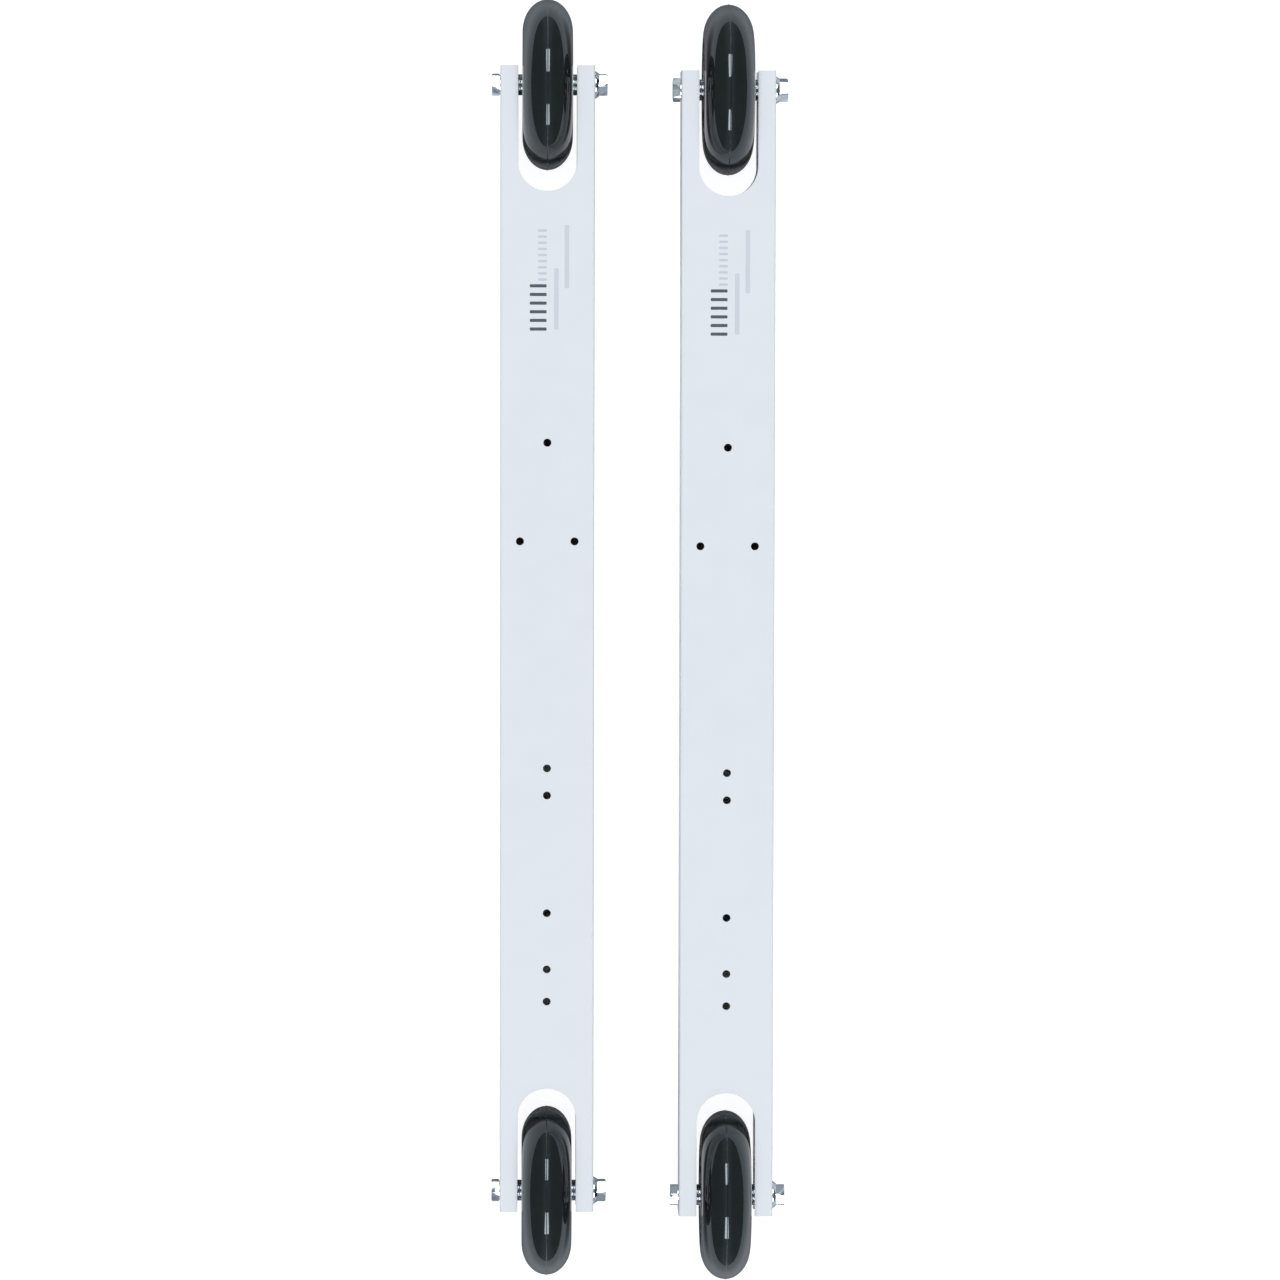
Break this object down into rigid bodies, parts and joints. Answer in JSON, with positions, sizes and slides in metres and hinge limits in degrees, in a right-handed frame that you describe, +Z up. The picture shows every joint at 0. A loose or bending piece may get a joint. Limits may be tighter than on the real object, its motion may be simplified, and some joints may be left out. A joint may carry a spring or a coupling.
{
  "type": "roller skis",
  "caption": "Pair of short in-line roller skis: white box-section aluminium shafts forked at both ends, each fork holding a black wheel on a bolted axle.",
  "frame": {"origin": "on the ground under the middle of the pair", "axes": "+Y forward along the skis, +X to the wearer's right, +Z up"},
  "size_m": [0.141, 0.6138, 0.0815],
  "materials": {
    "shaft_coat": "satin",
    "tyre": "gloss",
    "hub": "satin",
    "bearing_steel": "polished",
    "cage_steel": "satin",
    "zinc": "satin"
  },
  "bodies": {
    "left_ski": {"left_shaft": "shaft_coat", "left_front_centre_sleeve": "zinc", "left_front_head_side_inner_ring": "bearing_steel", "left_front_head_side_spacer": "zinc", "left_front_nut_side_inner_ring": "bearing_steel", "left_front_nut_side_spacer": "zinc", "left_front_axle_bolt": "zinc", "left_front_flange_nut": "zinc", "left_rear_centre_sleeve": "zinc", "left_rear_head_side_inner_ring": "bearing_steel", "left_rear_head_side_spacer": "zinc", "left_rear_nut_side_inner_ring": "bearing_steel", "left_rear_nut_side_spacer": "zinc", "left_rear_axle_bolt": "zinc", "left_rear_flange_nut": "zinc"},
    "left_front_wheel": {"left_front_tyre": "tyre", "left_front_hub": "hub", "left_front_head_side_outer_ring": "bearing_steel", "left_front_nut_side_outer_ring": "bearing_steel"},
    "left_front_head_side_balls": {"left_front_head_side_ball_cage": "cage_steel"},
    "left_front_nut_side_balls": {"left_front_nut_side_ball_cage": "cage_steel"},
    "left_rear_wheel": {"left_rear_tyre": "tyre", "left_rear_hub": "hub", "left_rear_head_side_outer_ring": "bearing_steel", "left_rear_nut_side_outer_ring": "bearing_steel"},
    "left_rear_head_side_balls": {"left_rear_head_side_ball_cage": "cage_steel"},
    "left_rear_nut_side_balls": {"left_rear_nut_side_ball_cage": "cage_steel"},
    "right_ski": {"right_shaft": "shaft_coat", "right_front_centre_sleeve": "zinc", "right_front_head_side_inner_ring": "bearing_steel", "right_front_head_side_spacer": "zinc", "right_front_nut_side_inner_ring": "bearing_steel", "right_front_nut_side_spacer": "zinc", "right_front_axle_bolt": "zinc", "right_front_flange_nut": "zinc", "right_rear_centre_sleeve": "zinc", "right_rear_head_side_inner_ring": "bearing_steel", "right_rear_head_side_spacer": "zinc", "right_rear_nut_side_inner_ring": "bearing_steel", "right_rear_nut_side_spacer": "zinc", "right_rear_axle_bolt": "zinc", "right_rear_flange_nut": "zinc"},
    "right_front_wheel": {"right_front_tyre": "tyre", "right_front_hub": "hub", "right_front_head_side_outer_ring": "bearing_steel", "right_front_nut_side_outer_ring": "bearing_steel"},
    "right_front_head_side_balls": {"right_front_head_side_ball_cage": "cage_steel"},
    "right_front_nut_side_balls": {"right_front_nut_side_ball_cage": "cage_steel"},
    "right_rear_wheel": {"right_rear_tyre": "tyre", "right_rear_hub": "hub", "right_rear_head_side_outer_ring": "bearing_steel", "right_rear_nut_side_outer_ring": "bearing_steel"},
    "right_rear_head_side_balls": {"right_rear_head_side_ball_cage": "cage_steel"},
    "right_rear_nut_side_balls": {"right_rear_nut_side_ball_cage": "cage_steel"}
  },
  "joints": [
    {"name": "right_ski_stride", "type": "slide", "parent": "left_ski", "child": "right_ski", "axis": [0, 1, 0], "range_m": [-0.65, 0.65]},
    {"name": "left_front_wheel_spin", "type": "hinge", "parent": "left_ski", "child": "left_front_wheel", "pos_m": [-0.044, 0.26613, 0.04075], "axis": [-1, 0, 0], "continuous": true},
    {"name": "left_front_head_side_balls_roll", "type": "hinge", "parent": "left_ski", "child": "left_front_head_side_balls", "pos_m": [-0.044, 0.26613, 0.04075], "axis": [-1, 0, 0], "continuous": true},
    {"name": "left_front_nut_side_balls_roll", "type": "hinge", "parent": "left_ski", "child": "left_front_nut_side_balls", "pos_m": [-0.044, 0.26613, 0.04075], "axis": [-1, 0, 0], "continuous": true},
    {"name": "left_rear_wheel_spin", "type": "hinge", "parent": "left_ski", "child": "left_rear_wheel", "pos_m": [-0.044, -0.26388, 0.04075], "axis": [-1, 0, 0], "continuous": true},
    {"name": "left_rear_head_side_balls_roll", "type": "hinge", "parent": "left_ski", "child": "left_rear_head_side_balls", "pos_m": [-0.044, -0.26388, 0.04075], "axis": [-1, 0, 0], "continuous": true},
    {"name": "left_rear_nut_side_balls_roll", "type": "hinge", "parent": "left_ski", "child": "left_rear_nut_side_balls", "pos_m": [-0.044, -0.26388, 0.04075], "axis": [-1, 0, 0], "continuous": true},
    {"name": "right_front_wheel_spin", "type": "hinge", "parent": "right_ski", "child": "right_front_wheel", "pos_m": [0.042, 0.26388, 0.04075], "axis": [-1, 0, 0], "continuous": true},
    {"name": "right_front_head_side_balls_roll", "type": "hinge", "parent": "right_ski", "child": "right_front_head_side_balls", "pos_m": [0.042, 0.26388, 0.04075], "axis": [-1, 0, 0], "continuous": true},
    {"name": "right_front_nut_side_balls_roll", "type": "hinge", "parent": "right_ski", "child": "right_front_nut_side_balls", "pos_m": [0.042, 0.26388, 0.04075], "axis": [-1, 0, 0], "continuous": true},
    {"name": "right_rear_wheel_spin", "type": "hinge", "parent": "right_ski", "child": "right_rear_wheel", "pos_m": [0.042, -0.26613, 0.04075], "axis": [-1, 0, 0], "continuous": true},
    {"name": "right_rear_head_side_balls_roll", "type": "hinge", "parent": "right_ski", "child": "right_rear_head_side_balls", "pos_m": [0.042, -0.26613, 0.04075], "axis": [-1, 0, 0], "continuous": true},
    {"name": "right_rear_nut_side_balls_roll", "type": "hinge", "parent": "right_ski", "child": "right_rear_nut_side_balls", "pos_m": [0.042, -0.26613, 0.04075], "axis": [-1, 0, 0], "continuous": true}
  ],
  "couplings": [
    {"joint": "left_front_head_side_balls_roll", "follows": "left_front_wheel_spin", "ratio": 0.625},
    {"joint": "left_front_nut_side_balls_roll", "follows": "left_front_wheel_spin", "ratio": 0.625},
    {"joint": "left_rear_head_side_balls_roll", "follows": "left_rear_wheel_spin", "ratio": 0.625},
    {"joint": "left_rear_nut_side_balls_roll", "follows": "left_rear_wheel_spin", "ratio": 0.625},
    {"joint": "right_front_head_side_balls_roll", "follows": "right_front_wheel_spin", "ratio": 0.625},
    {"joint": "right_front_nut_side_balls_roll", "follows": "right_front_wheel_spin", "ratio": 0.625},
    {"joint": "right_rear_head_side_balls_roll", "follows": "right_rear_wheel_spin", "ratio": 0.625},
    {"joint": "right_rear_nut_side_balls_roll", "follows": "right_rear_wheel_spin", "ratio": 0.625}
  ]
}
